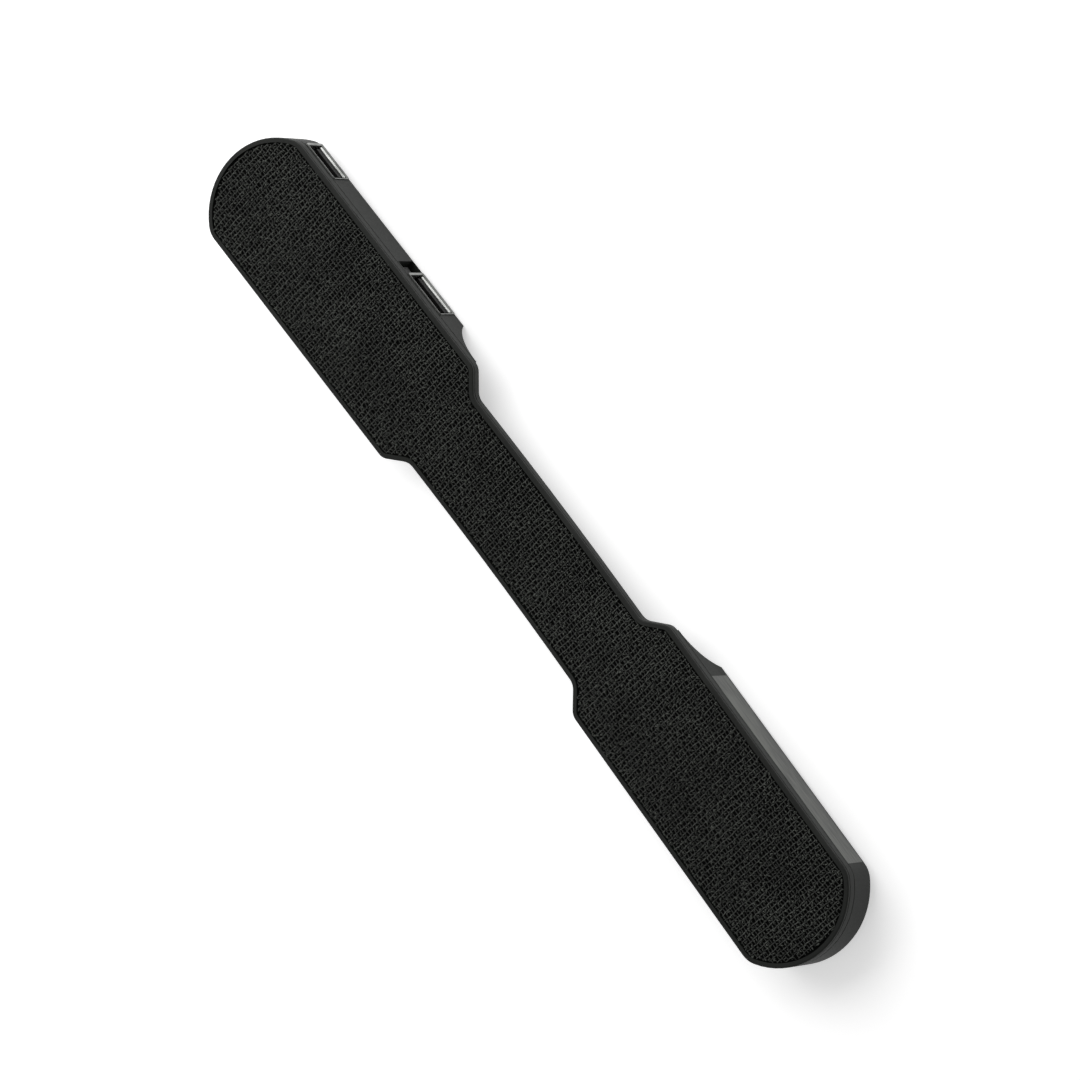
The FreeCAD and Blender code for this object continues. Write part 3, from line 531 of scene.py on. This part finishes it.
def makeGround():
    # ribbed tape cut to the recess: one closed sheet, low between the rows of hooks
    v = groundValues
    bm = bmesh.new()
    bm.from_mesh(nodes["hook_backing"].data)
    bmesh.ops.remove_doubles(bm, verts=bm.verts, dist=v["weld"])
    for x in np.arange(tapeLow.x + v["cut"], tapeHigh.x, v["cut"]):
        bmesh.ops.bisect_plane(bm, geom=bm.verts[:] + bm.edges[:] + bm.faces[:], dist=v["weld"] / 10,
                               plane_co=(x, 0, 0), plane_no=(1, 0, 0))
    bm.normal_update()
    firstRow = tapeLow.x + hookValues["edge"]
    for vert in bm.verts:
        if any(face.normal.z > v["upright"] for face in vert.link_faces):
            wave = math.cos(2 * math.pi * (vert.co.x - firstRow) / hookValues["rowPitch"])
            vert.co.z += v["rib"] * (wave - 1) / 2
    mesh = bpy.data.meshes.new("hookTapeGround")
    bm.to_mesh(mesh)
    bm.free()
    mesh.materials.clear()
    mesh.materials.append(ground)
    piece = bpy.data.objects.new("hookTapeGround", mesh)
    bpy.context.scene.collection.objects.link(piece)
    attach(piece, "housing")
    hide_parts("hook_backing")
    return piece


lipValues = {"radius": 0.36 * mm, "setback": 0.3 * mm, "inset": 0.4 * mm, "lift": 0.1 * mm,
             "flat": 0.01 * mm, "blunt": 0.1, "sides": 12, "capSteps": 5}


def makeLip(label):
    # the rolled lip just inside a socket's mouth, along its lower wall, with rounded ends; its nickel
    # is painted lighter than the shell's, a painted highlight
    v = lipValues
    shell = [vert.co.copy() for vert in nodes["socket_" + label + "_shell"].data.vertices]
    insert = [vert.co.copy() for vert in nodes["socket_" + label + "_insert"].data.vertices]
    front = max(co.y for co in insert) - v["flat"]
    face = sorted((co for co in insert if co.y > front), key=lambda co: co.x)
    left = min(face[:len(face) // 2], key=lambda co: co.z)
    right = min(face[len(face) // 2:], key=lambda co: co.z)
    along = (right - left).normalized()
    up = Vector((0, 1, 0)).cross(-along).normalized()
    length = (right - left).length + 2 * v["inset"]
    capAngles = np.linspace(v["blunt"], math.pi / 2, v["capSteps"])
    ends = [(v["radius"] * (1 - math.cos(a)), v["radius"] * math.sin(a)) for a in capAngles]
    stations = ends + [(length - ahead, radius) for ahead, radius in reversed(ends)]
    start = left - along * v["inset"] + up * v["lift"]
    start.y = max(co.y for co in shell) - v["radius"] - v["setback"]
    points = []
    for ahead, radius in stations:
        for a in np.arange(v["sides"]) * 2 * math.pi / v["sides"]:
            around = Vector((0, math.cos(a), 0)) + up * math.sin(a)
            points.append(tuple(start + along * ahead + around * radius))
    piece = meshPiece("socketLip" + label.capitalize(), np.array(points),
                      np.array(tubeFaces(0, len(stations), v["sides"])), paintedHighlightNickel)
    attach(piece, "housing")


for label in ("outer", "inner"):
    makeLip(label)
print("socket lips made")

hooks = makeHooks()
rowPitch, hookPitch = hookValues["rowPitch"], hookValues["hookPitch"]
hookRows = np.arange(tapeLow.x + hookValues["edge"], tapeHigh.x, rowPitch)
wefts = makeCords("weftCords", hookRows + rowPitch / 2, 2 * hookPitch, False, weftValues, weftNylon)
warpRows = np.arange(tapeLow.y + hookPitch / 2, tapeHigh.y, hookPitch)
warps = makeCords("warpCords", warpRows, 2 * rowPitch, True, warpValues, warpNylon)
groundPiece = makeGround()
ribbed = sum(p.area for p in groundPiece.data.polygons if p.normal.z > groundValues["upright"])
flatArea = ribbed * (1 - groundValues["ribShare"])  # the ribs take up about a hundredth of the cloth
print("hook tape made")

studioValues = {"floorSize": 6.0, "floorGap": 0.2 * mm, "floor": (0.9, 0.9, 0.9), "floorDull": 0.985,
                "cloud": 4, "glow": 0.46, "world": 0.33,
                "key": 6.3, "keySize": 0.9, "keyAt": (-0.55, 0.1, 0.5),
                "fill": 0.4, "fillSize": 0.8, "fillAt": (-0.3, 0.88, 0.38)}


def makeStudio():
    v = studioValues
    finish = Finish("paleFloor", Roughness=0.9, Specular_IOR_Level=0.1, Emission_Color=(1, 1, 1),
                    Emission_Strength=v["glow"])
    cloud = finish.noise(v["cloud"], detail=2.0)
    dull = tuple(c * v["floorDull"] for c in v["floor"])
    paper = finish.paint(Base_Color=finish.mix(cloud, v["floor"], dull))
    half = v["floorSize"] / 2
    corners = np.array([(-half, -half, 0), (half, -half, 0), (half, half, 0), (-half, half, 0)])
    floor = meshPiece("studioFloor", corners, np.array([(0, 1, 2, 3)]), paper, False)
    floor.location.z = cadBox[0][2] - v["floorGap"]
    world = bpy.data.worlds.new("studioAir")
    world.use_nodes = True
    air = world.node_tree.nodes["Background"]
    air.inputs["Color"].default_value = (1, 1, 1, 1)
    air.inputs["Strength"].default_value = v["world"]
    bpy.context.scene.world = world
    for name in ("key", "fill"):
        light = bpy.data.lights.new(name + "Light", "AREA")
        light.energy = v[name]
        light.size = v[name + "Size"]
        lamp = bpy.data.objects.new(name + "Light", light)
        lamp.location = v[name + "At"]
        lamp.rotation_euler = (-Vector(v[name + "At"])).to_track_quat("-Z", "Y").to_euler()
        bpy.context.scene.collection.objects.link(lamp)


cameraValues = {"lens": 142.2, "film": 36, "place": (0.30435, 0.38952, 0.89997),
                "right": (0.57187, 0.66377, -0.48205), "up": (-0.76473, 0.64402, -0.02042),
                "back": (0.29690, 0.38032, 0.87591)}


def makeCamera():
    # the view from above the socket side, the unit running from upper left to lower right
    v = cameraValues
    data = bpy.data.cameras.new("camera")
    data.lens = v["lens"]
    data.sensor_width = v["film"]
    camera = bpy.data.objects.new("camera", data)
    turn = Matrix((v["right"], v["up"], v["back"])).transposed().to_4x4()
    camera.matrix_world = Matrix.Translation(v["place"]) @ turn
    bpy.context.scene.collection.objects.link(camera)
    bpy.context.scene.camera = camera


makeStudio()
makeCamera()
bpy.context.scene.view_settings.view_transform = "Standard"
print("studio and camera set")
